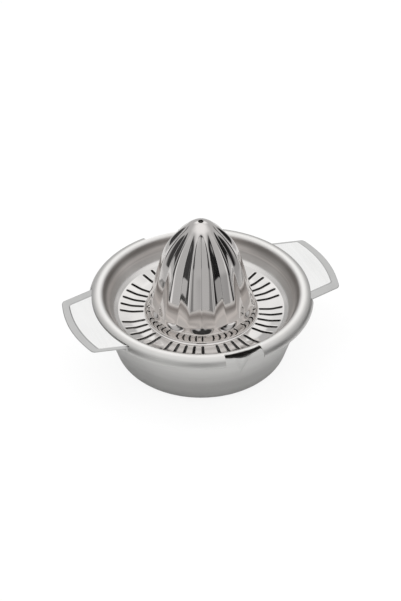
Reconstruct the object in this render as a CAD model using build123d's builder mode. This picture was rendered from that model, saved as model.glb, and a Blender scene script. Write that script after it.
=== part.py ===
"""Hand citrus juicer in stainless sheet: a spouted bowl with two tab handles, and a lift-out slotted
strainer that carries a hollow fluted reaming cone.

Millimetres, +Z up. The origin is the centre of the bowl's flat base, on the table.
The handles point along X and the spouts along Y.
"""
import os
from math import asin, cos, degrees, radians, sin, sqrt, tan

from build123d import *

# Bowl: a tapered wall on a flat base, measured on the outside
bowl_sheet = 0.7
bowl_height = 42.8
bowl_rim_radius = 63.8
bowl_wall_angle = 17.7
bowl_corner_radius = 8.4

# Spouts: a V pressed out of the wall, below a shallow dip in the rim
spout_width = 12.0
spout_reach = 2.6
spout_drop = 19.0
spout_nose_radius = 5.0
spout_dip_width = 19.0
spout_dip_depth = 1.4

# Handles: a flat tab with a raised panel, and a flange welded to the bowl's wall
handle_sheet = 0.9
handle_below_rim = 1.5
handle_reach = 20.0
handle_tip_bow = 4.5
handle_tip_width = 51.6
handle_root_width = 61.0
handle_corner_round = 1.8
handle_flange_depth = 8.0
handle_flange_width = 44.0
panel_rise = 0.5
panel_tip_border = 4.5
panel_wide_border = 6.0
panel_narrow_border = 1.8
panel_corner_round = 1.0
weld_gap = 0.1

# Strainer: floor ring under the cone, slotted trough, sloping wall, brim and skirt
strainer_sheet = 0.7
strainer_depth = 13.5
floor_seat_width = 3.8
floor_land = 0.4
trough_fall_angle = 1.5
trough_climb_angle = 12.8
trough_round = 15.0
shoulder_run = 2.8
shoulder_step = 1.4
shoulder_round = 3.0
wall_run = 6.4
brim_seat_width = 4.6
brim_round = 2.9
skirt_overhang = 3.6
skirt_round = 3.5
skirt_depth = 4.1
handle_notch_overhang = 1.8
handle_notch_clearance = 0.7
spout_notch_setback = 2.0
spout_notch_clearance = 1.65

# Slots in the trough, in groups
slot_groups = 8
slots_per_group = 5
slot_pitch_angle = 7.85
slot_width = 1.7
slot_inner_land = 0.6
slot_outer_land = 1.0
pattern_turn_angle = 8.0

# Reaming cone: a plain collar on a flange, a straight fluted flank, a rounded shoulder and a domed tip
cone_sheet = 0.7
cone_height = 65.7
cone_base_radius = 34.1
cone_taper_angle = 14.4
cone_straight_height = 36.6
cone_tip_round = 8.0
cone_collar_height = 6.0
cone_collar_step = 0.2
cone_foot_round = 0.7
cone_flange_width = 0.9
flute_count = 12
flute_depth_share = 0.105
flute_runout = 0.02
flute_end_drop = 2.7
flute_scoop_length = 2.4
flute_foot_share = 0.45
flute_deepen_length = 20.0
flute_fade_length = 8.0
scoop_section_shares = (0, 0.15, 0.35, 0.6, 1)
deepen_section_shares = (0.2, 0.45, 0.7, 1)
flank_section_shares = (0.25, 0.5, 0.75)
fade_section_shares = (0, 0.3, 0.55, 0.78, 1)
tip_section_shares = (0.35, 0.7, 1)
collar_inside_share = 0.5
tip_land_radius = 2.4
vent_diameter = 3.2

# One overrun for every cut
cut_overrun = 5.0

# Sizes that follow from the bowl: the handles on its wall, and the strainer's brim and notches on its rim
wall_slope = tan(radians(bowl_wall_angle))
bowl_wall_across = bowl_sheet / cos(radians(bowl_wall_angle))
handle_height = bowl_height - handle_below_rim
handle_tip_radius = bowl_rim_radius + handle_reach
brim_height = bowl_height + strainer_sheet
floor_height = brim_height - strainer_depth
skirt_radius = bowl_rim_radius + skirt_overhang
brim_inner_radius = bowl_rim_radius - brim_seat_width
shoulder_radius = brim_inner_radius - wall_run
trough_radius = shoulder_radius - shoulder_run
handle_notch_radius = bowl_rim_radius + handle_notch_overhang
handle_notch_angle = 2 * degrees(asin((handle_root_width / 2 + handle_notch_clearance) / skirt_radius))
spout_notch_radius = bowl_rim_radius - spout_notch_setback
spout_notch_angle = 2 * degrees(asin((spout_dip_width / 2 + spout_notch_clearance) / spout_notch_radius))

# Sizes that follow from the cone: its collar and flange, and the floor ring and slots round it
flank_slope = tan(radians(cone_taper_angle))
cone_collar_radius = cone_base_radius - cone_collar_height * flank_slope + cone_collar_step
cone_flange_radius = cone_collar_radius + cone_flange_width
flute_end_height = cone_height - flute_end_drop
floor_hole_radius = cone_collar_radius - floor_seat_width
floor_ring_radius = cone_flange_radius + floor_land
slot_inner_radius = floor_ring_radius + slot_inner_land
slot_outer_radius = trough_radius - slot_outer_land
trough_half = (trough_radius - floor_ring_radius) / 2
trough_low_height = floor_height - trough_half * tan(radians(trough_fall_angle))
trough_end_height = trough_low_height + trough_half * tan(radians(trough_climb_angle))

os.makedirs("parts", exist_ok=True)


# Bowl
def wall_radius(height):
    """Outer radius of the bowl's tapered wall at a height above the base."""
    return bowl_rim_radius - (bowl_height - height) * wall_slope


def spout_wedge(setback):
    """Wedge of one spout on +Y: a V at the rim that runs down to a point on the wall."""
    apex_height = bowl_height - spout_drop
    apex = Vertex(0, wall_radius(apex_height) - setback, apex_height)
    flank = sqrt(bowl_rim_radius**2 - (spout_width / 2) ** 2) - setback
    with BuildPart() as wedge:
        with BuildSketch(Plane.XY.offset(bowl_height)) as mouth:
            with BuildLine():
                Polyline(
                    (-spout_width / 2, flank),
                    (0, bowl_rim_radius + spout_reach - setback),
                    (spout_width / 2, flank),
                    (0, flank - spout_reach),
                    close=True,
                )
            make_face()
            fillet(mouth.vertices().sort_by(Axis.Y)[-1], spout_nose_radius)
        loft(sections=[mouth.sketch.face(), apex])
    return wedge.part


spout_outside = spout_wedge(0)
spout_inside = spout_wedge(bowl_wall_across)

with BuildPart() as bowl_hollow:
    mouth_height = bowl_height + cut_overrun
    mouth_radius = wall_radius(mouth_height) - bowl_wall_across
    with BuildSketch(Plane.XZ):
        with BuildLine():
            FilletPolyline(
                (0, bowl_sheet),
                (wall_radius(bowl_sheet) - bowl_wall_across, bowl_sheet),
                (mouth_radius, mouth_height),
                radius=bowl_corner_radius - bowl_sheet,
            )
            Polyline((mouth_radius, mouth_height), (0, mouth_height), (0, bowl_sheet))
        make_face()
    revolve(axis=Axis.Z)
    with PolarLocations(0, 2):
        add(spout_inside)

with BuildPart() as bowl:
    with BuildSketch(Plane.XZ):
        with BuildLine():
            FilletPolyline(
                (0, 0),
                (wall_radius(0), 0),
                (bowl_rim_radius, bowl_height),
                radius=bowl_corner_radius,
            )
            Polyline((bowl_rim_radius, bowl_height), (0, bowl_height), (0, 0))
        make_face()
    revolve(axis=Axis.Z)
    with PolarLocations(0, 2):
        add(spout_outside)
    add(bowl_hollow.part, mode=Mode.SUBTRACT)
    dip_radius = ((spout_dip_width / 2) ** 2 + spout_dip_depth**2) / (2 * spout_dip_depth)
    with BuildSketch(Plane.XZ):
        with Locations((0, bowl_height - spout_dip_depth + dip_radius)):
            Circle(dip_radius)
    extrude(amount=bowl_rim_radius + spout_reach + cut_overrun, both=True, mode=Mode.SUBTRACT)

bowl.part.label = "bowl"
export_step(bowl.part, "parts/bowl.step")


# Handles
def tab_outline(tip_border, wide_border, narrow_border, corner_round):
    """Plan of the handle on +X, drawn in by a border at its tip and at each of its sides."""
    tip = handle_tip_radius - tip_border
    root = wall_radius(handle_height - handle_sheet) - cut_overrun
    with BuildSketch() as outline:
        with BuildLine():
            tip_arc = ThreePointArc(
                (tip - handle_tip_bow, wide_border - handle_tip_width / 2),
                (tip, 0),
                (tip - handle_tip_bow, handle_tip_width / 2 - narrow_border),
            )
            Polyline(
                tip_arc @ 1,
                (root, handle_root_width / 2 - narrow_border),
                (root, wide_border - handle_root_width / 2),
                tip_arc @ 0,
            )
        make_face()
        fillet(outline.vertices().sort_by(Axis.X)[-2:], corner_round)
    return outline.sketch


with BuildPart() as bowl_envelope:
    with BuildSketch(Plane.XZ):
        with BuildLine():
            gap_across = weld_gap / cos(radians(bowl_wall_angle))
            Polyline(
                (0, 0),
                (wall_radius(0) + gap_across, 0),
                (bowl_rim_radius + gap_across, bowl_height),
                (0, bowl_height),
                close=True,
            )
        make_face()
    revolve(axis=Axis.Z)

with BuildPart() as handle_flange:
    flange_top = handle_height - handle_sheet
    flange_foot = flange_top - handle_flange_depth
    flange_across = handle_sheet / cos(radians(bowl_wall_angle))
    with BuildSketch(Plane.XZ):
        with BuildLine():
            Polyline(
                (wall_radius(flange_foot), flange_foot),
                (wall_radius(flange_foot) + gap_across + flange_across, flange_foot),
                (wall_radius(handle_height) + gap_across + flange_across, handle_height),
                (wall_radius(handle_height), handle_height),
                close=True,
            )
        make_face()
    revolve(axis=Axis.Z)
    with BuildSketch(Plane.XY.offset(flange_foot)):
        with Locations((handle_tip_radius / 2, 0)):
            Rectangle(handle_tip_radius, handle_flange_width)
    extrude(amount=handle_height - flange_foot, mode=Mode.INTERSECT)

tab = tab_outline(0, 0, 0, handle_corner_round)
panel = tab_outline(panel_tip_border, panel_wide_border, panel_narrow_border, panel_corner_round)
panel_hollow = tab_outline(
    panel_tip_border + handle_sheet,
    panel_wide_border + handle_sheet,
    panel_narrow_border + handle_sheet,
    panel_corner_round,
)

with BuildPart() as handle_right:
    with BuildSketch(Plane.XY.offset(handle_height - handle_sheet)):
        add(tab)
    extrude(amount=handle_sheet)
    with BuildSketch(Plane.XY.offset(handle_height)):
        add(panel)
    extrude(amount=panel_rise)
    with BuildSketch(Plane.XY.offset(handle_height - handle_sheet)):
        add(panel_hollow)
    extrude(amount=panel_rise, mode=Mode.SUBTRACT)
    add(handle_flange.part)
    add(bowl_envelope.part, mode=Mode.SUBTRACT)

handle_right.part.label = "handle_right"
export_step(handle_right.part, "parts/handle_right.step")

with BuildPart() as handle_left:
    with Locations(Rotation(0, 0, 180)):
        add(handle_right.part)

handle_left.part.label = "handle_left"
export_step(handle_left.part, "parts/handle_left.step")


# Strainer
def ring_sector(inner_radius, angle):
    """Part of a flat ring, centred on the X axis, that reaches past the skirt."""
    with BuildSketch() as part_ring:
        with BuildLine():
            inner = CenterArc((0, 0), inner_radius, -angle / 2, angle)
            outer = CenterArc((0, 0), skirt_radius + cut_overrun, -angle / 2, angle)
            Line(inner @ 0, outer @ 0)
            Line(inner @ 1, outer @ 1)
        make_face()
    return part_ring.sketch


handle_notch = ring_sector(handle_notch_radius, handle_notch_angle)
spout_notch = ring_sector(spout_notch_radius, spout_notch_angle)

with BuildPart() as strainer:
    with BuildSketch(Plane.XZ):
        with BuildLine():
            Line((floor_hole_radius, floor_height), (floor_ring_radius, floor_height))
            FilletPolyline(
                (floor_ring_radius, floor_height),
                (floor_ring_radius + trough_half, trough_low_height),
                (trough_radius, trough_end_height),
                radius=trough_round,
            )
            FilletPolyline(
                (trough_radius, trough_end_height),
                (shoulder_radius, trough_end_height + shoulder_step),
                (brim_inner_radius, brim_height),
                (skirt_radius, brim_height),
                (skirt_radius, brim_height - skirt_depth),
                radius=[shoulder_round, brim_round, skirt_round],
            )
            offset(amount=strainer_sheet, side=Side.RIGHT)
        make_face()
    revolve(axis=Axis.Z)
    with BuildSketch(Plane.XY.offset(brim_height - skirt_depth - cut_overrun)):
        with PolarLocations(0, 2):
            add(handle_notch)
        with PolarLocations(0, 2, start_angle=90):
            add(spout_notch)
    extrude(amount=skirt_depth + 2 * cut_overrun, mode=Mode.SUBTRACT)
    with BuildSketch(Plane.XY.offset(trough_low_height - strainer_sheet - cut_overrun)):
        for slot in range(slots_per_group):
            slot_turn = (slot - (slots_per_group - 1) / 2) * slot_pitch_angle
            with PolarLocations(
                (slot_inner_radius + slot_outer_radius) / 2,
                slot_groups,
                start_angle=pattern_turn_angle + slot_turn,
            ):
                SlotOverall(slot_outer_radius - slot_inner_radius, slot_width)
    extrude(amount=strainer_depth + 2 * cut_overrun, mode=Mode.SUBTRACT)

strainer.part.label = "strainer"
export_step(strainer.part, "parts/strainer.step")

# Reaming cone: the ridges follow a straight flank, then an arc that is tangent to it and to the tip's dome
flank_cos = cos(radians(cone_taper_angle))
flank_sin = sin(radians(cone_taper_angle))
flank_end_radius = cone_base_radius - cone_straight_height * flank_slope
dome_height = cone_height - cone_tip_round
dome_drop = cone_straight_height - dome_height
cone_shoulder = (flank_end_radius**2 + dome_drop**2 - cone_tip_round**2) / (
    2 * (flank_end_radius * flank_cos + dome_drop * flank_sin - cone_tip_round)
)
shoulder_x = flank_end_radius - cone_shoulder * flank_cos
shoulder_z = cone_straight_height - cone_shoulder * flank_sin


def ridge_radius(height, inset):
    """Radius of the ridges, or of the sheet's inside at the inset, at a height over the floor."""
    if height <= cone_straight_height - inset * flank_sin:
        return cone_base_radius - (inset + height * flank_sin) / flank_cos
    return shoulder_x + sqrt((cone_shoulder - inset) ** 2 - (height - shoulder_z) ** 2)


def ridge_height(radius, inset):
    """Height over the floor at which the rounded shoulder or the dome has a radius."""
    dome_edge_radius = -shoulder_x * (cone_tip_round - inset) / (cone_shoulder - cone_tip_round)
    if radius < dome_edge_radius:
        return dome_height + sqrt((cone_tip_round - inset) ** 2 - radius**2)
    return shoulder_z + sqrt((cone_shoulder - inset) ** 2 - (radius - shoulder_x) ** 2)


def fluted_section(height, ridge, valley):
    """Closed outline of concave arcs between sharp ridges, at a height over the floor."""
    half_flute = 180 / flute_count
    with BuildSketch(Plane.XY.offset(floor_height + height)) as section:
        with BuildLine():
            for flute in range(flute_count):
                middle = pattern_turn_angle + 2 * half_flute * flute
                ThreePointArc(
                    Vector(ridge, 0).rotate(Axis.Z, middle - half_flute),
                    Vector(valley, 0).rotate(Axis.Z, middle),
                    Vector(ridge, 0).rotate(Axis.Z, middle + half_flute),
                )
        make_face()
    return section.sketch.face()


def run_in(distance, length):
    """Share of a depth at a distance from a flute's end: it grows to full over the length."""
    return 1 - (1 - min(distance / length, 1)) ** 2


def fluted_solid(inset):
    """Collar and fluted cone up to the flat land at its tip, or the hollow inside them at the inset."""
    collar_top = cone_collar_height - inset * collar_inside_share
    scoop_top = cone_collar_height + flute_scoop_length
    deepen_top = cone_collar_height + flute_deepen_length
    fade_start = flute_end_height - flute_fade_length
    heights = [collar_top + (scoop_top - collar_top) * share for share in scoop_section_shares]
    heights += [scoop_top + (deepen_top - scoop_top) * share for share in deepen_section_shares]
    heights += [deepen_top + (fade_start - deepen_top) * share for share in flank_section_shares]
    heights += [fade_start + flute_fade_length * share for share in fade_section_shares]
    sections = []
    for height in heights:
        ridge = ridge_radius(height, inset)
        scoop = run_in(height - collar_top, flute_scoop_length)
        deepening = run_in(height - collar_top, flute_deepen_length)
        full_share = flute_foot_share + (1 - flute_foot_share) * deepening
        fade = run_in(flute_end_height - height, flute_fade_length)
        depth = flute_runout + flute_depth_share * ridge * full_share * scoop * fade
        sections.append(fluted_section(height, ridge, ridge - depth))
    flute_end_radius = ridge_radius(flute_end_height, inset)
    for share in tip_section_shares:
        radius = flute_end_radius + (tip_land_radius - flute_end_radius) * share
        sections.append(fluted_section(ridge_height(radius, inset), radius, radius - flute_runout))
    with BuildPart() as fluted:
        loft(sections=sections)
        with BuildSketch(Plane.XY.offset(floor_height)):
            Circle(cone_collar_radius - inset)
        extrude(amount=collar_top)
    return fluted.part


with BuildPart() as reamer_cone:
    add(fluted_solid(0))
    with BuildSketch(Plane.XZ):
        with BuildLine():
            foot_top = floor_height + cone_sheet
            foot_edge = cone_collar_radius + cone_foot_round
            Polyline(
                (foot_edge, foot_top),
                (cone_flange_radius, foot_top),
                (cone_flange_radius, floor_height),
                (0, floor_height),
                (0, foot_top + cone_foot_round),
                (cone_collar_radius, foot_top + cone_foot_round),
            )
            RadiusArc(
                (cone_collar_radius, foot_top + cone_foot_round),
                (foot_edge, foot_top),
                -cone_foot_round,
            )
        make_face()
    revolve(axis=Axis.Z)
    add(fluted_solid(cone_sheet), mode=Mode.SUBTRACT)
    with BuildSketch(Plane.XY.offset(floor_height)):
        Circle(vent_diameter / 2)
    extrude(amount=cone_height + cut_overrun, mode=Mode.SUBTRACT)

reamer_cone.part.label = "reamer_cone"
export_step(reamer_cone.part, "parts/reamer_cone.step")
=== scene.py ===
from math import asin, degrees, radians, tan

import bmesh
import bpy
import numpy as np
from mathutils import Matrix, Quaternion, Vector


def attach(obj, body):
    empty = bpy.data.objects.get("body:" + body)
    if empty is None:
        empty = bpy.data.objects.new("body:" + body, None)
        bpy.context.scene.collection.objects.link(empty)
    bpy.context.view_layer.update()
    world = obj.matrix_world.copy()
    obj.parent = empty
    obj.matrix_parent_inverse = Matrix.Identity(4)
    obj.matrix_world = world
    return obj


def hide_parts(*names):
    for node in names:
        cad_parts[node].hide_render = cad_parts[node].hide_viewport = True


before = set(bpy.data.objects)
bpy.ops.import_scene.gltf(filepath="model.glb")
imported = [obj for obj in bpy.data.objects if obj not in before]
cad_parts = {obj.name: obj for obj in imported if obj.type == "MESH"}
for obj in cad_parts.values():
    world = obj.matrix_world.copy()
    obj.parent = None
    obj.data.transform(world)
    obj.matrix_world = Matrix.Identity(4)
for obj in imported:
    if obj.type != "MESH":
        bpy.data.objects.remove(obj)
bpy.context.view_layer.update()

# Bowl
# One deep-drawn pressing of stainless sheet: a flat base, a rounded corner and a tapered wall, with
# two pouring spouts pressed out as a V under a dip in the rim. It is turned to a satin finish.
mm = 0.001  # the sizes are in millimetres, and sheets_object makes metres of them
bowl_sheet = 0.7
bowl_height = 42.8
rim_radius = 63.8
wall_lean = radians(17.7)
wall_slope = tan(wall_lean)
wall_across = bowl_sheet / np.cos(wall_lean)
base_corner = 8.4
corner_share = 0.9
spout_half = 7.5
spout_reach = 4.4
spout_drop = 19.0
spout_nose = 4.0
spout_crease = 0.2
spout_zone = 0.35
dip_half = 13.5
dip_depth = 1.9
seam_gap = 0.002
bowl_colour = (0.80, 0.795, 0.78)
bowl_roughness = 0.3
bowl_grain = 0.25
bowl_smear = 0.06
# Painted shade: the wall's colour darkens from 40 mm down to 2 mm, keeping 0.6 of its brightness at
# the foot
bowl_painted_shade = (2 * mm, 40 * mm, 0.6)


def rounded_line(corners, rounds, step=1.0, turn_steps=10):
    """Points along straight runs in (radius, height), each inner corner rounded to its radius."""
    corners = [np.array(c, float) for c in corners]
    runs = [[corners[0]]]
    for before, corner, after, radius in zip(corners, corners[1:], corners[2:], rounds):
        back = (before - corner) / np.linalg.norm(before - corner)
        ahead = (after - corner) / np.linalg.norm(after - corner)
        half = np.arccos(np.clip(back @ ahead, -1, 1)) / 2
        middle = corner + (back + ahead) / np.linalg.norm(back + ahead) * radius / np.sin(half)
        first = corner + back * radius / np.tan(half) - middle
        last = corner + ahead * radius / np.tan(half) - middle
        sweep = np.pi - 2 * half
        turn = [
            middle + (np.sin(sweep * (1 - s)) * first + np.sin(sweep * s) * last) / np.sin(sweep)
            for s in np.linspace(0, 1, turn_steps + 1)
        ]
        runs[-1].append(turn[0])
        runs += [turn, [turn[-1]]]
    runs[-1].append(corners[-1])
    points = [corners[0]]
    for number, run in enumerate(runs):
        if number % 2:
            points += run[1:]
            continue
        start, end = run
        count = max(1, int(np.ceil(np.linalg.norm(end - start) / step)))
        points += [start + (end - start) * k / count for k in range(1, count + 1)]
    return np.array(points)


def other_side(line, thickness):
    """The far face of a sheet whose near face follows the line; it lies to the line's left."""
    along = np.gradient(line, axis=0)
    along /= np.linalg.norm(along, axis=1)[:, None]
    return line + thickness * np.stack([-along[:, 1], along[:, 0]], axis=1)


def spun(line, turns):
    """Grid of points: the line in (radius, height) turned round the axis to each angle.

    All points of the line share one row of angles, or each has a row of its own.
    """
    radius, height = line[:, 0][:, None], line[:, 1][:, None]
    return np.stack([radius * np.cos(turns), radius * np.sin(turns), height + 0 * turns], axis=-1)


def sheet(
    facing, backing, cells=None, wraps=True, start_wall=True, end_wall=True, side_walls=True
):
    """Points and faces of a metal sheet between two grids; cells says which squares are metal."""
    rows, cols = facing.shape[:2]
    spans = cols if wraps else cols - 1
    if cells is None:
        cells = np.ones((rows - 1, spans), bool)
    faces = []
    for i, j in zip(*np.nonzero(cells)):
        k = (j + 1) % cols
        near = [i * cols + j, i * cols + k, (i + 1) * cols + k, (i + 1) * cols + j]
        far = [n + rows * cols for n in near]
        faces += [near, far[::-1]]
        at_first, at_last = not wraps and j == 0, not wraps and j == spans - 1
        open_sides = (
            start_wall if i == 0 else not cells[i - 1, j],
            side_walls if at_last else not cells[i, (j + 1) % spans],
            end_wall if i == rows - 2 else not cells[i + 1, j],
            side_walls if at_first else not cells[i, j - 1],
        )
        for side, is_open in enumerate(open_sides):
            if is_open:
                a, b = side, (side + 1) % 4
                faces.append([near[b], near[a], far[a], far[b]])
    return np.concatenate([facing.reshape(-1, 3), backing.reshape(-1, 3)]), faces


def sheets_object(name, sheets):
    """One object from sheets in millimetres, with seams and poles closed and no loose points."""
    points, faces = [], []
    for sheet_points, sheet_faces in sheets:
        first = len(points)
        points += (sheet_points * mm).tolist()
        faces += [[n + first for n in face] for face in sheet_faces]
    mesh = bpy.data.meshes.new(name)
    mesh.from_pydata(points, [], faces)
    shell = bmesh.new()
    shell.from_mesh(mesh)
    bmesh.ops.remove_doubles(shell, verts=shell.verts, dist=seam_gap * mm)
    bmesh.ops.delete(shell, geom=[v for v in shell.verts if not v.link_faces], context="VERTS")
    shell.to_mesh(mesh)
    shell.free()
    piece = bpy.data.objects.new(name, mesh)
    bpy.context.scene.collection.objects.link(piece)
    return piece


def smooth(piece, crease=35):
    """Shades the metal smooth, with a hard line at each cut edge."""
    piece.data.shade_smooth()
    piece.data.set_sharp_from_angle(angle=radians(crease))


class Wire:
    """A node's output. Arithmetic on it adds Math nodes, and add() puts in any other node."""

    def __init__(self, tree, socket=None):
        self.tree = tree
        self.socket = socket

    def add(self, kind, settings=None, sockets=None, out=0):
        node = self.tree.nodes.new(kind)
        for key, value in (settings or {}).items():
            setattr(node, key, value)
        for key, value in (sockets or {}).items():
            if isinstance(value, Wire):
                self.tree.links.new(value.socket, node.inputs[key])
            else:
                node.inputs[key].default_value = value
        return Wire(self.tree, node.outputs[out])

    def math(self, operation, *values):
        return self.add("ShaderNodeMath", {"operation": operation}, dict(enumerate(values)))

    def ramp(self, low, high):
        """0 below low and 1 above high, with a soft step between."""
        return self.add(
            "ShaderNodeMapRange",
            {"interpolation_type": "SMOOTHSTEP"},
            {"Value": self, "From Min": low, "From Max": high},
        )

    def band(self, rise_from, rise_to, fall_from, fall_to):
        """1 between two soft steps, 0 below the first and above the second."""
        return self.ramp(rise_from, rise_to) * (1 - self.ramp(fall_from, fall_to))

    def tint(self, colour):
        """A colour, or a wire that carries one, times this value."""
        return self.add("ShaderNodeVectorMath", {"operation": "SCALE"}, {0: colour, "Scale": self})

    def blend(self, first, second):
        """The first colour where this value is 0, the second where it is 1."""
        sockets = {0: self, 6: first, 7: second}
        return self.add("ShaderNodeMix", {"data_type": "RGBA"}, sockets, out=2)

    def __add__(self, other):
        return self.math("ADD", self, other)

    def __sub__(self, other):
        return self.math("SUBTRACT", self, other)

    def __rsub__(self, other):
        return self.math("SUBTRACT", other, self)

    def __mul__(self, other):
        return self.math("MULTIPLY", self, other)

    def __pow__(self, other):
        return self.math("POWER", self, other)

    __radd__ = __add__
    __rmul__ = __mul__


def steel(
    name, colour, dull, grain, smear, lay="turned", panel=None, satin=None, fall=None, zones=()
):
    """Stainless finish: grain round the axis or straight, with soft smears of duller metal.

    fall: painted shade, heights over which colour darkens to the foot, and the share left there.
    zones: rings of another colour, some painted light: first and last radius, colour, streaking.
    satin: radii between which the finish turns dull, and the roughness there.
    panel: heights where a raised panel shows, its painted highlight colour, its roughness share.
    """
    fine_scale, broad_scale, band_scale, cloud_scale = 2600, 420, 110, 45
    turned_stretch, straight_stretch = 2 * mm, 0.02
    worn_from, worn_to = 0.42, 0.75
    middle = 0.5
    broad_tone, smear_tone, band_tone = 0.5, 0.5, 0.22
    fine_dull, broad_dull = 0.35, 0.3
    bump_share, bump_depth = 0.25, 0.02 * mm
    zone_edge = mm
    material = bpy.data.materials.new(name)
    material.use_nodes = True
    tree = material.node_tree
    metal = tree.nodes["Principled BSDF"]
    start = Wire(tree)

    def noise(vector, scale, detail):
        sockets = {"Vector": vector, "Scale": scale, "Detail": detail}
        return start.add("ShaderNodeTexNoise", None, sockets)

    place = start.add("ShaderNodeTexCoord", out="Object")
    axes = [start.add("ShaderNodeSeparateXYZ", None, {0: place}, out=n) for n in range(3)]
    if lay == "turned":
        radius = (axes[0] * axes[0] + axes[1] * axes[1]) ** 0.5
        turn = start.math("ARCTAN2", axes[1], axes[0])
        stretched = radius, axes[2], turn * turned_stretch
    else:
        stretched = axes[0], axes[1] * straight_stretch, axes[2]
    lines = start.add("ShaderNodeCombineXYZ", None, dict(enumerate(stretched)))
    fine = noise(lines, fine_scale, 3)
    broad = noise(lines, broad_scale, 2)
    worn = noise(place, cloud_scale, 4).ramp(worn_from, worn_to)
    shade = 1 + (broad - middle) * (broad_tone * grain) - worn * (smear_tone * smear)
    tinted = shade.tint(colour)
    roughness = dull + (fine - middle) * (grain * fine_dull)
    roughness = roughness + (broad - middle) * (grain * broad_dull) + worn * smear
    # Painted shade: the colour darkens towards the foot between two heights, with noisy bands round
    # the axis over it.
    if fall:
        low, high, painted_foot_level = fall
        bands = (noise(lines, band_scale, 1) - middle) * band_tone
        gain = painted_foot_level + axes[2].ramp(low, high) * (1 - painted_foot_level) + bands
        tinted = gain.tint(tinted)
    for first, last, zone_colour, streak in zones:
        ring = radius.band(
            first - zone_edge, first + zone_edge, last - zone_edge, last + zone_edge
        )
        zone_shade = shade * (1 + (broad - middle) * streak)
        tinted = ring.blend(tinted, zone_shade.tint(zone_colour))
    if satin:
        first, last, satin_dull = satin
        roughness = roughness + radius.ramp(first, last) * (satin_dull - dull)
    # Painted highlight: the raised panel takes a brighter colour, as well as a lower roughness.
    if panel:
        low, high, painted_highlight, polish = panel
        mask = axes[2].ramp(low, high)
        tinted = mask.blend(tinted, shade.tint(painted_highlight))
        roughness = roughness * (1 - mask * (1 - polish))
    bump_sockets = {"Strength": bump_share * grain, "Distance": bump_depth, "Height": fine}
    bump = start.add("ShaderNodeBump", None, bump_sockets)
    tree.links.new(tinted.socket, metal.inputs["Base Color"])
    tree.links.new(roughness.socket, metal.inputs["Roughness"])
    tree.links.new(bump.socket, metal.inputs["Normal"])
    metal.inputs["Metallic"].default_value = 1
    return material


def soft_larger(a, b, width):
    """The larger of two values, with the change from one to the other rounded off."""
    return (a + b + np.sqrt((a - b) ** 2 + width**2)) / 2


def bowl_wall(height, off_spout, setback):
    """Radius of the wall at a height and at an angle off the spout, with the V of the spout."""
    plain = rim_radius - (bowl_height - height) * wall_slope - setback
    foot = rim_radius - spout_drop * wall_slope
    rise = (height - bowl_height + spout_drop) / spout_drop
    tip = foot + rise * (rim_radius + spout_reach - foot) - setback
    flank = np.sqrt(rim_radius**2 - spout_half**2)
    pitch = (rim_radius + spout_reach - flank) / spout_half
    nose = spout_nose * np.clip(rise, 0, 1) / rim_radius
    aside = np.sqrt(np.sin(off_spout) ** 2 + nose**2)
    vee = tip / (np.cos(off_spout) + pitch * aside)
    return np.where(np.abs(off_spout) < spout_zone, soft_larger(plain, vee, spout_crease), plain)


fine_reach = 8
fine_step = 0.2
wide_steps = 132
close_turns = np.radians(np.arange(-fine_reach, fine_reach + fine_step / 2, fine_step))
wide_turns = np.radians(np.linspace(fine_reach, 180 - fine_reach, wide_steps)[1:-1])
half_turn = np.concatenate([close_turns, wide_turns])
off_spouts = np.concatenate([half_turn, half_turn])
off_spouts = np.where(off_spouts > np.pi / 2, off_spouts - np.pi, off_spouts)
bowl_turns = np.concatenate([half_turn, half_turn + np.pi]) + np.pi / 2

base_radius = rim_radius - bowl_height * wall_slope
foot_corners = [(0, 0), (base_radius, 0), (rim_radius, bowl_height)]
foot_line = rounded_line(foot_corners, [base_corner], step=3.0, turn_steps=14)
corner_end = np.argmax(foot_line[:, 1] > base_corner * corner_share)
foot_line = foot_line[: corner_end + 1]
foot_inside = other_side(foot_line, bowl_sheet)
aside_at_rim = np.abs(rim_radius * np.sin(off_spouts))
dip_radius = (dip_half**2 + dip_depth**2) / (2 * dip_depth)
dip = dip_radius - dip_depth - np.sqrt(dip_radius**2 - np.minimum(aside_at_rim, dip_half) ** 2)
rim_heights = bowl_height + np.minimum(dip, 0)
wall_rows = 48
rim_shares = [0.995, 1.0]
rises = np.concatenate([np.linspace(0, 0.99, wall_rows)[1:], rim_shares])


def wall_grid(first_height, setback):
    """Grid of the bowl's wall from the rounded corner to the rim, dip and spouts included."""
    heights = first_height + rises[:, None] * (rim_heights - first_height)
    radii = bowl_wall(heights, off_spouts, setback)
    return np.stack([radii * np.cos(bowl_turns), radii * np.sin(bowl_turns), heights], axis=-1)


bowl_outside = np.concatenate([spun(foot_line, bowl_turns), wall_grid(foot_line[-1, 1], 0)])
bowl_inside = np.concatenate(
    [spun(foot_inside, bowl_turns), wall_grid(foot_inside[-1, 1], wall_across)]
)
bowl = sheets_object("bowl_shell", [sheet(bowl_outside, bowl_inside, start_wall=False)])
smooth(bowl)
bowl.data.materials.append(
    steel("bowl_satin", bowl_colour, bowl_roughness, bowl_grain, bowl_smear, fall=bowl_painted_shade)
)
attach(bowl, "bowl_body")
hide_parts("bowl")

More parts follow.
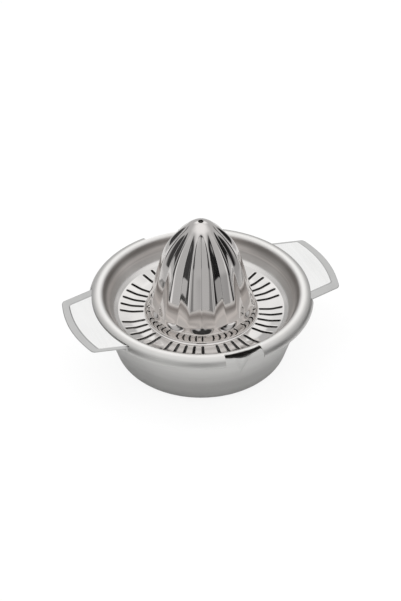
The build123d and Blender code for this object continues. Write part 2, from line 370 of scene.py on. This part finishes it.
# Handles
# Two tabs stamped from thicker stainless sheet, left satin round a raised panel that lies nearer
# one side; the panel's brighter colour is a painted highlight. A curved flange bent down from each
# root is spot-welded to the bowl's wall.
handle_sheet = 0.9
handle_drop = 1.5
handle_top = bowl_height - handle_drop
handle_reach = 20.0
tip_bow = 4.5
tip_half = 25.8
root_half = 30.5
root_inset = 5.0
corner_round = 1.8
panel_corner = 1.0
panel_rise = 0.5
tip_border = 4.5
wide_border = 6.0
narrow_border = 1.8
press_step = 0.35
edge_roll = 0.45
roll_drop = 0.3
flange_depth = 8.0
flange_half = 22.0
flange_tuck_in = 0.1
flange_tuck_up = 0.3
weld_gap = 0.1
handle_colour = (0.56, 0.56, 0.555)
handle_roughness = 0.34
handle_grain = 0.2
handle_smear = 0.05
# Painted highlight: the raised panel's colour is brighter than the border's
panel_painted_highlight = (0.83, 0.83, 0.825)
panel_polish = 0.45
panel_shows = (0.15, 0.85)

tip_radius = rim_radius + handle_reach
tip_curve = (tip_half**2 + tip_bow**2) / (2 * tip_bow)
seat_radius = rim_radius - handle_drop * wall_slope + weld_gap / np.cos(wall_lean)
root_line = rim_radius - (handle_drop + handle_sheet) * wall_slope - root_inset
tip_line = tip_radius - tip_bow
near_edge = [0, 0.1, 0.22, 0.36, 0.55, 0.9, 1.25, 1.45]
press_rows = np.array([-1, -0.6, -0.2, 0.2, 0.6, 1])
plain_step = 0.8
corner_step = 0.35
short_of_press = 0.3
past_corner = 0.6
across_columns = 14
root_rows = 10
flange_columns = 33


def border_offsets(border, span):
    """Distances in from an edge, close together at the rolled edge, the step and the corner."""
    steps = border + press_step * press_rows
    plain = np.arange(near_edge[-1] + plain_step, steps[0] - short_of_press, plain_step)
    corner = np.arange(steps[-1] + corner_step, border + corner_round + past_corner, corner_step)
    offsets = np.concatenate([near_edge, plain, steps, corner])
    return np.unique(np.round(offsets, 4))[: np.sum(offsets < span)]


wide_offsets = border_offsets(wide_border, root_half)
narrow_offsets = border_offsets(narrow_border, root_half)[::-1]
tip_offsets = border_offsets(tip_border, handle_reach)[::-1]
across_shares = np.linspace(0, 1, across_columns)[1:-1]


def across(half):
    """Places across the tab at a half width: wide border, panel, narrow border."""
    low, high = wide_offsets[-1] - half, half - narrow_offsets[0]
    panel = low + across_shares * (high - low)
    return np.concatenate([wide_offsets - half, panel, half - narrow_offsets])


def tip_place(aside):
    """How far out the bowed tip reaches at a distance from the middle."""
    return tip_radius - tip_curve + np.sqrt(tip_curve**2 - aside**2)


tip_aside = across(tip_half)
root_aside = across(root_half)
from_side = np.minimum(tip_half - tip_aside, tip_half + tip_aside)
shortfall = np.clip(corner_round - from_side, 0, None)
tip_ends = tip_place(tip_aside) - corner_round + np.sqrt(corner_round**2 - shortfall**2)
root_shares = np.linspace(0, 1, root_rows)[:-1]
root_starts = np.sqrt(seat_radius**2 - root_aside**2)
panel_ends = tip_ends - tip_offsets[0]
panel_outs = root_starts + root_shares[:, None] * (panel_ends - root_starts)
outs = np.concatenate([panel_outs, tip_ends - tip_offsets[:, None]])
taper = (outs - root_line) / (tip_line - root_line)
asides = root_aside + taper * (tip_aside - root_aside)
halves = root_half + taper * (tip_half - root_half)
in_wide, in_narrow = asides + halves, halves - asides
in_tip = tip_place(asides) - outs


def rounded_corner_depth(a, b):
    """Depth inside the panel's rounded corner, from the depths inside its two edges."""
    gap_a, gap_b = np.clip(panel_corner - a, 0, None), np.clip(panel_corner - b, 0, None)
    return np.where(
        (gap_a > 0) & (gap_b > 0), panel_corner - np.sqrt(gap_a**2 + gap_b**2), np.minimum(a, b)
    )


panel_depth = rounded_corner_depth(
    in_tip - tip_border, np.minimum(in_wide - wide_border, in_narrow - narrow_border)
)
lift = np.clip((panel_depth + press_step) / (2 * press_step), 0, 1)
lift = panel_rise * lift * lift * (3 - 2 * lift)
from_edge = np.minimum(np.minimum(in_wide, in_narrow), np.maximum(tip_ends - outs, 0))
roll = roll_drop * np.clip(1 - from_edge / edge_roll, 0, 1) ** 2
tab_top = np.stack([outs, asides, handle_top + lift - roll], axis=-1)
tab_under = np.stack([outs, asides, handle_top + lift - handle_sheet + roll], axis=-1)

flange_across = handle_sheet / np.cos(wall_lean)
flange_foot = handle_top - handle_sheet - flange_depth
foot_out = seat_radius - (handle_top - flange_foot) * wall_slope + flange_across
flange_head = (seat_radius + flange_across - flange_tuck_in, handle_top - flange_tuck_up)
flange_line = rounded_line([(foot_out, flange_foot), flange_head], [])
flange_reach = asin(flange_half / seat_radius)
flange_turns = np.linspace(-flange_reach, flange_reach, flange_columns)
flange_back = flange_line - np.array([flange_across, 0])
flange_sheet = sheet(spun(flange_line, flange_turns), spun(flange_back, flange_turns), wraps=False)
tab_sheet = sheet(tab_under, tab_top, wraps=False)
panel_heights = [(handle_top + share * panel_rise) * mm for share in panel_shows]
handle_finish = steel(
    "handle_satin",
    handle_colour,
    handle_roughness,
    handle_grain,
    handle_smear,
    lay="straight",
    panel=(*panel_heights, panel_painted_highlight, panel_polish),
)
for side, turn in (("right", 1), ("left", -1)):
    half_turned = np.array([turn, turn, 1])
    sheets = [(points * half_turned, faces) for points, faces in (tab_sheet, flange_sheet)]
    handle = sheets_object("handle_tab_" + side, sheets)
    smooth(handle)
    handle.data.materials.append(handle_finish)
    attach(handle, "bowl_body")
    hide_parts("handle_" + side)

# Strainer
# A loose dished ring of thin stainless sheet that hangs in the bowl by its rolled brim, notched
# over the handles and spouts. The slotted trough is polished, the wall and the brim are satin.
strainer_sheet = 0.7
brim_height = bowl_height + strainer_sheet
dish_depth = 14.15
floor_height = brim_height - dish_depth
floor_hole = 28.96
floor_ring = 34.06
trough_radius = 50.0
trough_fall = radians(1.5)
trough_climb = radians(12.8)
trough_low = floor_height - (trough_radius - floor_ring) / 2 * tan(trough_fall)
trough_end = trough_low + (trough_radius - floor_ring) / 2 * tan(trough_climb)
shoulder_radius = 52.8
shoulder_step = 1.4
brim_inner = 59.2
brim_crest = 0.43
crest_radius = 61.8
skirt_radius = 67.4
skirt_depth = 4.9
bend_rounds = [0.8, 15.0, 1.5, 3.0, 2.9]
line_step = 0.9
roll_rows = 15
row_gap = 0.02
handle_notch = 65.6
handle_notch_gap = 0.7
handle_notch_half = asin((root_half + handle_notch_gap) / skirt_radius)
spout_notch = 61.8
spout_notch_aside = 11.15
spout_notch_half = asin(spout_notch_aside / spout_notch)
pull_start = 2
pull_rows = 8
slot_groups = 8
slots_per_group = 5
slot_pitch = radians(7.85)
slot_half = 0.85
slot_inner = 34.66
slot_outer = 49.0
slot_roll = 0.12
roll_share = 0.26
ring_shares = [0, 0.06, 0.14, roll_share, 0.5, 0.75, 1.0]
pattern_turn = radians(8.0)
tile_inner = 34.3
tile_outer = 49.5
end_segments = 6
side_segments = 18
gap_segments = 5
strainer_colour = (0.74, 0.725, 0.71)
strainer_roughness = 0.09
strainer_grain = 0.06
strainer_smear = 0.05
strainer_satin = (50.5 * mm, 53.5 * mm, 0.4)
# Rings of colour on the wall and brim; three of them are painted light
strainer_rings_with_painted_light = (
    (54.8 * mm, 57 * mm, (0.72, 0.69, 0.67), 1.2),
    # painted shade: a dark ring on the upper wall, just under the brim
    (57 * mm, 58.8 * mm, (0.36, 0.335, 0.32), 0.8),
    # painted highlight: a bright ring along the brim's crest
    (60.4 * mm, 62.6 * mm, (0.92, 0.91, 0.89), 0.2),
    # painted shade: a darker ring over the brim's outer slope and skirt
    (63.5 * mm, 70 * mm, (0.66, 0.655, 0.64), 0.3),
)

strainer_line = rounded_line(
    [
        (floor_hole, floor_height),
        (floor_ring, floor_height),
        ((floor_ring + trough_radius) / 2, trough_low),
        (trough_radius, trough_end),
        (shoulder_radius, trough_end + shoulder_step),
        (brim_inner, brim_height + brim_crest),
        (crest_radius, brim_height + brim_crest),
    ],
    bend_rounds,
    step=line_step,
)
roll_turns = np.linspace(0, np.pi / 2, roll_rows)[1:]
brim_roll = np.stack(
    [
        crest_radius + (skirt_radius - crest_radius) * np.sin(roll_turns),
        brim_height - skirt_depth + (skirt_depth + brim_crest) * np.cos(roll_turns),
    ],
    axis=-1,
)
strainer_line = np.concatenate([strainer_line, brim_roll])
strainer_under = other_side(strainer_line, -strainer_sheet)


def at_radius(radius):
    """Top and underside of the strainer where its top has a radius."""
    return [
        np.array([np.interp(radius, strainer_line[:, 0], side[:, n]) for n in range(2)])
        for side in (strainer_line, strainer_under)
    ]


def ring_lines(start, end, stops=()):
    """The part of the strainer's two faces between two radii, with extra rows at the stops."""
    radii = strainer_line[:, 0]
    keep = (radii > start + row_gap) & (radii < end - row_gap)
    rows = sorted(radii[keep].tolist() + [start, end, *stops])
    return [np.array(line) for line in zip(*(at_radius(radius) for radius in rows))]


gap_half = np.pi / slot_groups - slots_per_group * slot_pitch / 2
tile_steps = np.arange(slots_per_group * end_segments) / end_segments
tile_turns = (tile_steps - slots_per_group / 2) * slot_pitch
gap_steps = np.arange(gap_segments) / gap_segments
gap_start = tile_turns[0] + slots_per_group * slot_pitch
group_turns = np.concatenate([tile_turns, gap_start + gap_steps * 2 * gap_half])
ring_turns = np.concatenate(
    [pattern_turn + 2 * np.pi * group / slot_groups + group_turns for group in range(slot_groups)]
)

floor_top, floor_under = ring_lines(floor_hole, tile_inner)
floor_sheet = sheet(spun(floor_under, ring_turns), spun(floor_top, ring_turns), end_wall=False)

brim_top, brim_under = ring_lines(tile_outer, skirt_radius, stops=(handle_notch, spout_notch))
notches = [
    (0, handle_notch_half, handle_notch),
    (np.pi / 2, spout_notch_half, spout_notch),
    (np.pi, handle_notch_half, handle_notch),
    (3 * np.pi / 2, spout_notch_half, spout_notch),
]


def turn_between(turns, others):
    """Angles from others to turns, each within half a turn either way."""
    return (turns - others + np.pi) % (2 * np.pi) - np.pi


pulls = np.zeros(len(ring_turns))
for centre, half, reach in notches:
    for edge in (centre - half, centre + half):
        apart = turn_between(edge, ring_turns)
        nearest = np.argmin(np.abs(apart))
        pulls[nearest] = apart[nearest]
pull_shares = np.clip((np.arange(len(brim_top)) - pull_start) / pull_rows, 0, 1)
brim_turns = ring_turns + pull_shares[:, None] * pulls
last_turns = brim_turns[-1]
middles = last_turns + ((np.roll(last_turns, -1) - last_turns) % (2 * np.pi)) / 2
row_radii = (brim_top[:-1, 0] + brim_top[1:, 0]) / 2
brim_cells = np.ones((len(brim_top) - 1, len(ring_turns)), bool)
for centre, half, reach in notches:
    inside = np.abs(turn_between(middles, centre)) < half
    brim_cells[np.ix_(row_radii > reach, inside)] = False
brim_sheet = sheet(
    spun(brim_under, brim_turns), spun(brim_top, brim_turns), brim_cells, start_wall=False
)


def plate_grid(plan, face):
    """Places points of the slotted plate's plan on the top or the underside of the strainer."""
    radius = np.hypot(plan[..., 0], plan[..., 1])
    height = np.interp(radius, strainer_line[:, 0], face[:, 1])
    return np.concatenate([plan, height[..., None]], axis=-1)


def polar(radius, turn):
    """Plan points from radius and angle."""
    return np.stack([radius * np.cos(turn), radius * np.sin(turn)], axis=-1)


tile_half = slot_pitch / 2
up = np.arange(end_segments) / end_segments
along = np.arange(side_segments) / side_segments
tile_edge = np.concatenate(
    [
        polar(tile_outer + 0 * up, -tile_half + 2 * tile_half * up),
        polar(tile_outer + (tile_inner - tile_outer) * along, tile_half + 0 * along),
        polar(tile_inner + 0 * up, tile_half - 2 * tile_half * up),
        polar(tile_inner + (tile_outer - tile_inner) * along, -tile_half + 0 * along),
    ]
)
cap_outer, cap_inner = slot_outer - slot_half, slot_inner + slot_half
slot_edge = np.concatenate(
    [
        np.array([cap_outer, 0]) + slot_half * polar(1 + 0 * up, np.pi * (up - 0.5)),
        np.stack([cap_outer + (cap_inner - cap_outer) * along, slot_half + 0 * along], axis=-1),
        np.array([cap_inner, 0]) + slot_half * polar(1 + 0 * up, np.pi * (up + 0.5)),
        np.stack([cap_inner + (cap_outer - cap_inner) * along, -slot_half + 0 * along], axis=-1),
    ]
)
rings = np.array(ring_shares)[:, None, None]
tile_plan = slot_edge + rings * (tile_edge - slot_edge)
tile_top, tile_under = plate_grid(tile_plan, strainer_line), plate_grid(tile_plan, strainer_under)
rolled = slot_roll * np.clip(1 - rings[..., 0] / roll_share, 0, 1) ** 2
tile_top[..., 2] -= rolled
slot_tile = sheets_object("slot_tile", [sheet(tile_under, tile_top, end_wall=False)])
gap_turns = np.linspace(-gap_half, gap_half, gap_segments + 1)
gap_radii = tile_inner + (tile_outer - tile_inner) * np.linspace(0, 1, side_segments + 1)
gap_plan = polar(gap_radii[:, None] + 0 * gap_turns, gap_turns + 0 * gap_radii[:, None])
gap_sheet = sheet(
    plate_grid(gap_plan, strainer_under),
    plate_grid(gap_plan, strainer_line),
    wraps=False,
    start_wall=False,
    end_wall=False,
    side_walls=False,
)
gap_tile = sheets_object("gap_tile", [gap_sheet])


def node_inputs(tree, names):
    """Gives a node tree its geometry sockets and named inputs; returns these and their marks."""
    tree.interface.new_socket("Geometry", in_out="INPUT", socket_type="NodeSocketGeometry")
    tree.interface.new_socket("Geometry", in_out="OUTPUT", socket_type="NodeSocketGeometry")
    marks = {
        name: tree.interface.new_socket(name, in_out="INPUT", socket_type=kind).identifier
        for name, kind in names.items()
    }
    entry = tree.nodes.new("NodeGroupInput")
    return {s.name: Wire(tree, s) for s in entry.outputs if s.name}, marks


def turned_copies(start, count, angle, instance):
    """Copies of a piece of geometry round the axis, each turned by an angle from its number."""
    points = start.add("GeometryNodePoints", None, {"Count": count})
    turn = start.add("ShaderNodeCombineXYZ", None, {2: angle})
    turn = start.add("FunctionNodeEulerToRotation", None, {0: turn})
    sockets = {"Points": points, "Instance": instance, "Rotation": turn}
    return start.add("GeometryNodeInstanceOnPoints", None, sockets)


def close_tree(start, geometry, material):
    """Ends a tree: real geometry, seams merged, material set."""
    real = start.add("GeometryNodeRealizeInstances", None, {"Geometry": geometry})
    sockets = {"Geometry": real, "Distance": 2 * seam_gap * mm}
    merged = start.add("GeometryNodeMergeByDistance", None, sockets)
    sockets = {"Geometry": merged, "Material": material}
    finished = start.add("GeometryNodeSetMaterial", None, sockets)
    exit_node = start.tree.nodes.new("NodeGroupOutput")
    start.tree.links.new(finished.socket, exit_node.inputs["Geometry"])


def made_plain(piece, tree, values):
    """Runs a node tree on a piece and keeps the result as the piece's own plain mesh."""
    modifier = piece.modifiers.new(tree.name, "NODES")
    modifier.node_group = tree
    for mark, value in values.items():
        modifier[mark] = value
    depsgraph = bpy.context.evaluated_depsgraph_get()
    mesh = bpy.data.meshes.new_from_object(piece.evaluated_get(depsgraph))
    piece.modifiers.remove(modifier)
    piece.data = mesh
    smooth(piece)


slot_tree = bpy.data.node_groups.new("slots_round_the_trough", "GeometryNodeTree")
slot_in, slot_marks = node_inputs(
    slot_tree,
    {
        "Slot tile": "NodeSocketObject",
        "Gap tile": "NodeSocketObject",
        "Groups": "NodeSocketInt",
        "Slots per group": "NodeSocketInt",
        "Slot pitch": "NodeSocketFloat",
        "Pattern turn": "NodeSocketFloat",
        "Steel": "NodeSocketMaterial",
    },
)
start = Wire(slot_tree)
number = start.add("GeometryNodeInputIndex")
group = start.math("FLOOR", start.math("DIVIDE", number, slot_in["Slots per group"]))
place = number - group * slot_in["Slots per group"]
group_step = start.math("DIVIDE", 2 * np.pi, slot_in["Groups"])
slot_angle = (
    slot_in["Pattern turn"]
    + group * group_step
    + (place - (slot_in["Slots per group"] - 1) * 0.5) * slot_in["Slot pitch"]
)
gap_angle = slot_in["Pattern turn"] + (number + 0.5) * group_step
tiles = [
    start.add("GeometryNodeObjectInfo", None, {"Object": slot_in[name]}, out="Geometry")
    for name in ("Slot tile", "Gap tile")
]
slots = turned_copies(start, slot_in["Groups"] * slot_in["Slots per group"], slot_angle, tiles[0])
gaps = turned_copies(start, slot_in["Groups"], gap_angle, tiles[1])
joined = start.add("GeometryNodeJoinGeometry", None, {0: slot_in["Geometry"]})
for part in (slots, gaps):
    slot_tree.links.new(part.socket, joined.socket.node.inputs[0])
close_tree(start, joined, slot_in["Steel"])

strainer = sheets_object("strainer_dish", [floor_sheet, brim_sheet])
made_plain(
    strainer,
    slot_tree,
    {
        slot_marks["Slot tile"]: slot_tile,
        slot_marks["Gap tile"]: gap_tile,
        slot_marks["Groups"]: slot_groups,
        slot_marks["Slots per group"]: slots_per_group,
        slot_marks["Slot pitch"]: slot_pitch,
        slot_marks["Pattern turn"]: pattern_turn,
        slot_marks["Steel"]: steel(
            "strainer_polish",
            strainer_colour,
            strainer_roughness,
            strainer_grain,
            strainer_smear,
            satin=strainer_satin,
            zones=strainer_rings_with_painted_light,
        ),
    },
)
for tile in (slot_tile, gap_tile):
    bpy.data.objects.remove(tile)
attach(strainer, "strainer_body")
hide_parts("strainer")

# Reaming cone
# A hollow cone drawn from stainless sheet and mirror polished: twelve flutes, each two facets that
# meet in a crease, a domed tip with a vent, and a collar whose flange is welded on the floor ring.
cone_sheet = 0.7
cone_height = 65.9
cone_base = 34.1
cone_taper = radians(14.4)
straight_height = 36.6
tip_round = 9.6
collar_radius = 32.76
collar_height = 6.7
collar_ease = 0.25
foot_across = 1.75
foot_up = 3.5
flange_radius = 34.55
flange_edge = 0.35
edge_ease = 0.05
flute_count = 12
flute_depth = 2.0
deepest_share = 0.2
flute_end = 62.8
flute_fade = 10.0
flute_scoop = 3.0
scoop_ease = 0.25
scoop_rise = 1.2
foot_share = 0.8
foot_length = 12.0
valley_round = 0.45
spoon_round = 2.5
spoon_length = 6.0
facet_bulge = 0.25
ridge_round = 1.0
vent_radius = 1.6
facet_columns = 18
foot_rows = 9
collar_rows = 8
scoop_rows = 22
scoop_bunching = 1.4
flank_rows = 26
fade_rows = 22
dome_rows = 11
cone_colour = (0.74, 0.715, 0.70)
cone_roughness = 0.05
cone_grain = 0.03
cone_smear = 0.04

flank_end = cone_base - straight_height * np.tan(cone_taper)
dome_height = cone_height - tip_round
dome_drop = straight_height - dome_height
shoulder = (flank_end**2 + dome_drop**2 - tip_round**2) / (
    2 * (flank_end * np.cos(cone_taper) + dome_drop * np.sin(cone_taper) - tip_round)
)
shoulder_x = flank_end - shoulder * np.cos(cone_taper)
shoulder_z = straight_height - shoulder * np.sin(cone_taper)
dome_edge = -shoulder_x * tip_round / (shoulder - tip_round)


def dome_start(inset):
    """Height over the floor at which the shoulder passes into the dome."""
    return dome_height + (tip_round - inset) * np.sqrt(1 - (dome_edge / tip_round) ** 2)


def ridge_radius(height, inset):
    """Radius of the ridges at a height over the floor, on the outside or inset by the sheet."""
    flank = cone_base - height * np.tan(cone_taper) - inset / np.cos(cone_taper)
    squared = (shoulder - inset) ** 2 - (height - shoulder_z) ** 2
    bend = shoulder_x + np.sqrt(np.clip(squared, 0, None))
    return np.where(height < straight_height - inset * np.sin(cone_taper), flank, bend)


def flute_radius(ridge, full_share, turn, easing):
    """Radius of a creased flute at an angle off its middle, eased at its valley and ridges."""
    half = np.pi / flute_count
    aside = np.sqrt(turn**2 + (easing / ridge) ** 2)
    aside = half - np.sqrt(np.clip(half - aside, 0, None) ** 2 + (ridge_round / ridge) ** 2)
    valley = ridge - np.minimum(flute_depth, deepest_share * ridge)
    facet = valley * ridge * np.sin(half)
    facet = facet / (ridge * np.sin(half - aside) + valley * np.sin(aside))
    share = aside / half
    facet = facet + facet_bulge * ridge / cone_base * 4 * share * (1 - share)
    return ridge - full_share * (ridge - facet)


def run_in(distance, length):
    """Share of a depth at a distance from a flute's end: it grows to full over the length."""
    return 1 - (1 - np.clip(distance / length, 0, 1)) ** 2


def slope_in(distance, length):
    """Share of a depth at a distance from a flute's foot: an even slope eased into full depth."""
    share = np.clip(distance / length, 0, 1)
    return share * (1 + scoop_ease - scoop_ease * share**4)


half_turns = 0.5 - 0.5 * np.cos(np.pi * np.linspace(0, 1, facet_columns))
flute_turns = np.pi / flute_count * np.concatenate([-half_turns[:0:-1], half_turns])
each_turn = 0 * flute_turns
scoop_starts = collar_height + scoop_rise * (flute_turns * flute_count / np.pi) ** 2
scoop_top = collar_height + scoop_rise + flute_scoop
fade_start = flute_end - flute_fade
foot_turns = np.linspace(0, np.pi / 2, foot_rows)
collar_shares = np.linspace(0, 1, collar_rows)[1:-1, None]
scoop_shares = np.linspace(0, 1, scoop_rows)[:, None] ** scoop_bunching
flank_shares = np.linspace(0, 1, flank_rows)[1:, None]
fade_shares = np.linspace(0, 1, fade_rows)[1:, None]
dome_first, dome_last = np.arcsin(dome_edge / tip_round), np.arcsin(vent_radius / tip_round)
dome_turns = np.linspace(dome_first, dome_last, dome_rows)[1:]


def cone_grid(inset):
    """Grid of one flute's panel, flange to vent, on the outside or inset by the sheet."""
    starts = scoop_starts - inset / 2
    foot_top = flange_edge + foot_up
    levels = np.concatenate(
        [
            foot_top + collar_shares * (starts - foot_top),
            starts + scoop_shares * (scoop_top - starts),
            scoop_top + flank_shares * (fade_start - scoop_top) + each_turn,
            fade_start + fade_shares * (dome_start(inset) - fade_start) + each_turn,
        ]
    )
    above = levels - starts
    ridges = -soft_larger(inset - collar_radius, -ridge_radius(levels, inset), collar_ease)
    full_shares = slope_in(above, flute_scoop) * run_in(flute_end - levels, flute_fade)
    full_shares *= foot_share + (1 - foot_share) * run_in(above, foot_length)
    easing = valley_round + spoon_round * (1 - run_in(above, spoon_length))
    radii = flute_radius(ridges, full_shares, flute_turns, easing)
    if inset:
        foot_radii = np.linspace(flange_radius - edge_ease, collar_radius - inset, len(foot_turns))
        foot_levels = 0 * foot_turns
        edge_levels = [0]
    else:
        foot_radii = collar_radius + foot_across * (1 - np.sin(foot_turns))
        foot_levels = flange_edge + foot_up * (1 - np.cos(foot_turns))
        edge_levels = [flange_edge - 2 * edge_ease]
    dome = tip_round - inset
    dome_radii = dome * np.sin(dome_turns)
    dome_levels = dome_height + dome * np.cos(dome_turns)
    foot_radii = np.concatenate([[flange_radius], foot_radii])
    foot_levels = np.concatenate([edge_levels, foot_levels])
    radii = np.concatenate(
        [foot_radii[:, None] + each_turn, radii, dome_radii[:, None] + each_turn]
    )
    levels = np.concatenate(
        [foot_levels[:, None] + each_turn, levels, dome_levels[:, None] + each_turn]
    )
    plan = radii * np.cos(flute_turns), radii * np.sin(flute_turns)
    return np.stack([*plan, floor_height + levels], axis=-1)


flute_tree = bpy.data.node_groups.new("flutes_round_the_cone", "GeometryNodeTree")
flute_in, flute_marks = node_inputs(
    flute_tree,
    {"Flutes": "NodeSocketInt", "Pattern turn": "NodeSocketFloat", "Steel": "NodeSocketMaterial"},
)
start = Wire(flute_tree)
number = start.add("GeometryNodeInputIndex")
flute_step = start.math("DIVIDE", 2 * np.pi, flute_in["Flutes"])
flute_angle = flute_in["Pattern turn"] + number * flute_step
flutes = turned_copies(start, flute_in["Flutes"], flute_angle, flute_in["Geometry"])
close_tree(start, flutes, flute_in["Steel"])

cone_panel = sheet(cone_grid(0), cone_grid(cone_sheet), wraps=False, side_walls=False)
cone = sheets_object("fluted_cone", [cone_panel])
made_plain(
    cone,
    flute_tree,
    {
        flute_marks["Flutes"]: flute_count,
        flute_marks["Pattern turn"]: pattern_turn,
        flute_marks["Steel"]: steel(
            "cone_mirror", cone_colour, cone_roughness, cone_grain, cone_smear
        ),
    },
)
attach(cone, "strainer_body")
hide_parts("reamer_cone")

# Studio
# A white table that fades into a white surround, one soft lamp overhead, and dark boards that only
# the polished metal sees, with the camera at the photograph's angle.
table_radius = 0.7
table_sides = 96
table_grey = (0.8, 0.8, 0.8, 1)
table_glow = 1.08
table_whitening = 0.8
seen_fade = (0.2, 0.6)
lit_fade = (0.12, 0.24)
sky_level = 0.55
overhead_gain = 0.5
behind_gain = 0.45
strip_gain = 0.45
below_gain = 0.25
board_dark = 0.9
right_board_dark = 0.07
slit_dark = 0.55
lens_dark = 0.85
right_dark = 0.3
lamp_power = 1.5
lamp_size = 0.9
lamp_place = (-0.35, 0.25, 1.3)
lamp_target = Vector((0, 0, 0.04))
view_azimuth = radians(-22.7)
view_elevation = radians(38.15)
view_distance = 1.384
view_roll = radians(-0.26)
view_target = Vector((0, 0, 0.030))
photo_long_side = 601
focal_pixels = 2300
shift_right, shift_up = -0.7, 8.5
sensor_width = 36

table_points, table_faces = [(0, 0, 0)], []
for k in range(table_sides):
    turn = 2 * np.pi * k / table_sides
    table_points.append((table_radius * np.cos(turn), table_radius * np.sin(turn), 0))
    table_faces.append((0, k + 1, (k + 1) % table_sides + 1))
table_mesh = bpy.data.meshes.new("table")
table_mesh.from_pydata(table_points, [], table_faces)
table = bpy.data.objects.new("table", table_mesh)
bpy.context.scene.collection.objects.link(table)
table_white = bpy.data.materials.new("table_white")
table_white.use_nodes = True
table_tree = table_white.node_tree
table_tree.nodes.clear()
start = Wire(table_tree)
place = start.add("ShaderNodeTexCoord", out="Object")
from_middle = start.add("ShaderNodeVectorMath", {"operation": "LENGTH"}, {0: place}, out="Value")
by_camera = start.add("ShaderNodeLightPath", out="Is Camera Ray")
board = start.add("ShaderNodeBsdfDiffuse", None, {"Color": table_grey})
white = start.add("ShaderNodeEmission", None, {"Color": (1, 1, 1, 1), "Strength": table_glow})
clear = start.add("ShaderNodeBsdfTransparent")
shown = start.add("ShaderNodeMixShader", None, {0: by_camera * table_whitening, 1: board, 2: white})
fade = by_camera * from_middle.ramp(*seen_fade) + (1 - by_camera) * from_middle.ramp(*lit_fade)
faded = start.add("ShaderNodeMixShader", None, {0: fade, 1: shown, 2: clear})
table_out = table_tree.nodes.new("ShaderNodeOutputMaterial")
table_tree.links.new(faded.socket, table_out.inputs["Surface"])
table_mesh.materials.append(table_white)

surround = bpy.data.worlds.new("surround")
bpy.context.scene.world = surround
surround.use_nodes = True
surround_tree = surround.node_tree
surround_tree.nodes.clear()
start = Wire(surround_tree)
way = start.add("ShaderNodeTexCoord", out="Generated")
axes = [start.add("ShaderNodeSeparateXYZ", None, {0: way}, out=n) for n in range(3)]
toward = (np.sin(view_azimuth), -np.cos(view_azimuth))
ahead = axes[0] * toward[0] + axes[1] * toward[1]
aside = axes[0] * -toward[1] + axes[1] * toward[0]
side = start.math("ARCTAN2", aside, ahead) * degrees(1)
bearing = start.math("ABSOLUTE", side)
height = start.math("ARCSINE", axes[2]) * degrees(1)
# Each shape that the metal reflects fades in and out between bearings off the camera's direction
# and heights over the table, in degrees.
near_boards = bearing.band(62, 66, 84, 92) * (1 - height.ramp(26, 40))
far_boards = bearing.band(102, 108, 132, 144) * (1 - height.ramp(10, 18))
boards = start.math("MAXIMUM", near_boards, far_boards) * height.ramp(-11, -8.5)
stands = bearing.band(52, 55, 63, 66) * height.band(-17, -15, 20, 30)
strips = bearing.band(43, 46, 49, 52) * height.band(-15, -12, 24, 40)
slit = (1 - bearing.ramp(6, 10)) * height.band(-16, -14, 44, 50)
lens = (1 - bearing.ramp(9, 12)) * height.band(12, 18, 44, 52)
behind = bearing.ramp(135, 155) * height.band(24, 32, 44, 56)
overhead = height.ramp(30, 70)
below = 1 - height.ramp(-20, -17)
right_shade = side.band(10, 40, 100, 120) * (1 - height.ramp(-6, 4))
dark = start.math("MAXIMUM", boards, stands) * (board_dark + side.ramp(-5, 5) * right_board_dark)
level = sky_level + overhead * overhead_gain + behind * behind_gain
level = level + strips * strip_gain + below * below_gain
level = level * (1 - dark) * (1 - slit * slit_dark)
level = level * (1 - lens * lens_dark) * (1 - right_shade * right_dark)
seen = start.add("ShaderNodeCombineColor", None, {0: level, 1: level, 2: level})
glossy = start.add("ShaderNodeLightPath", out="Is Glossy Ray")
passing = start.add("ShaderNodeLightPath", out="Is Transmission Ray")
shiny = start.math("MAXIMUM", glossy, passing)
plain_sky = start.add("ShaderNodeBackground", None, {"Color": (1, 1, 1, 1), "Strength": 1.0})
shown_sky = start.add("ShaderNodeBackground", None, {"Color": seen, "Strength": 1.0})
sky = start.add("ShaderNodeMixShader", None, {0: shiny, 1: plain_sky, 2: shown_sky})
sky_out = surround_tree.nodes.new("ShaderNodeOutputWorld")
surround_tree.links.new(sky.socket, sky_out.inputs["Surface"])

lamp_data = bpy.data.lights.new("soft_box", "AREA")
lamp_data.energy = lamp_power
lamp_data.shape = "DISK"
lamp_data.size = lamp_size
lamp = bpy.data.objects.new("soft_box", lamp_data)
lamp.visible_glossy = False
lamp.location = lamp_place
lamp.rotation_euler = (lamp_target - lamp.location).to_track_quat("-Z", "Y").to_euler()
bpy.context.scene.collection.objects.link(lamp)

camera_data = bpy.data.cameras.new("camera")
camera_data.sensor_width = sensor_width
camera_data.lens = focal_pixels / photo_long_side * sensor_width
camera_data.shift_x = shift_right / photo_long_side
camera_data.shift_y = shift_up / photo_long_side
camera = bpy.data.objects.new("camera", camera_data)
back = Vector(
    (
        np.sin(view_azimuth) * np.cos(view_elevation),
        -np.cos(view_azimuth) * np.cos(view_elevation),
        np.sin(view_elevation),
    )
)
camera.location = view_target + view_distance * back
facing_target = (-back).to_track_quat("-Z", "Y") @ Quaternion((0, 0, 1), view_roll)
camera.rotation_euler = facing_target.to_euler()
bpy.context.scene.collection.objects.link(camera)
bpy.context.scene.camera = camera
bpy.context.scene.view_settings.view_transform = "Standard"
